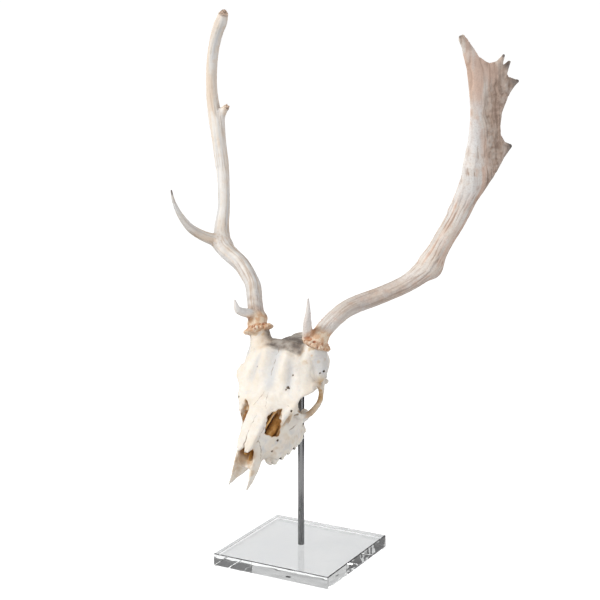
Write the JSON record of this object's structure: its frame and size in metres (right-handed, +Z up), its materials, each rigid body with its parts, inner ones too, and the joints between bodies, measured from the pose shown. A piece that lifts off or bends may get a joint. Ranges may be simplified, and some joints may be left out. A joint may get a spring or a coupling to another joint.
{
  "type": "fallow deer skull",
  "caption": "Antlered fallow deer skull, nose down on a steel rod that stands on a clear square base plate, still display model at life size.",
  "frame": {"origin": "centre of the base plate's underside", "axes": "+Z up along the rod, -Y the way the muzzle points, +X to the animal's left; the base plate's edges lie along X and Y"},
  "size_m": [0.5158, 0.2955, 0.8441],
  "materials": {
    "bone": "cleaned, matt to satin",
    "coronet": "pearled, rough",
    "antler": "dry, grooved lengthwise",
    "antler_brown": "dry, grooved lengthwise, weathered",
    "rod_steel": "brushed along its length",
    "clear_acrylic": "polished"
  },
  "bodies": {
    "root": {"stand_base": "clear_acrylic", "stand_rod": "rod_steel", "cranium": "bone", "nasal_left": "bone", "nasal_right": "bone", "maxilla_left": "bone", "maxilla_right": "bone", "premaxilla_left": "bone", "premaxilla_right": "bone", "zygomatic_left": "bone", "zygomatic_right": "bone", "antler_left_coronet": "coronet", "antler_right_coronet": "coronet", "antler_left_lower_beam": "antler", "antler_left_brow_tine": "antler", "antler_left_upper_beam": "antler_brown", "antler_left_palm": "antler_brown", "antler_right_lower_beam": "antler", "antler_right_brow_tine": "antler", "antler_right_upper_beam": "antler", "antler_right_trez_tine": "antler"}
  },
  "joints": []
}
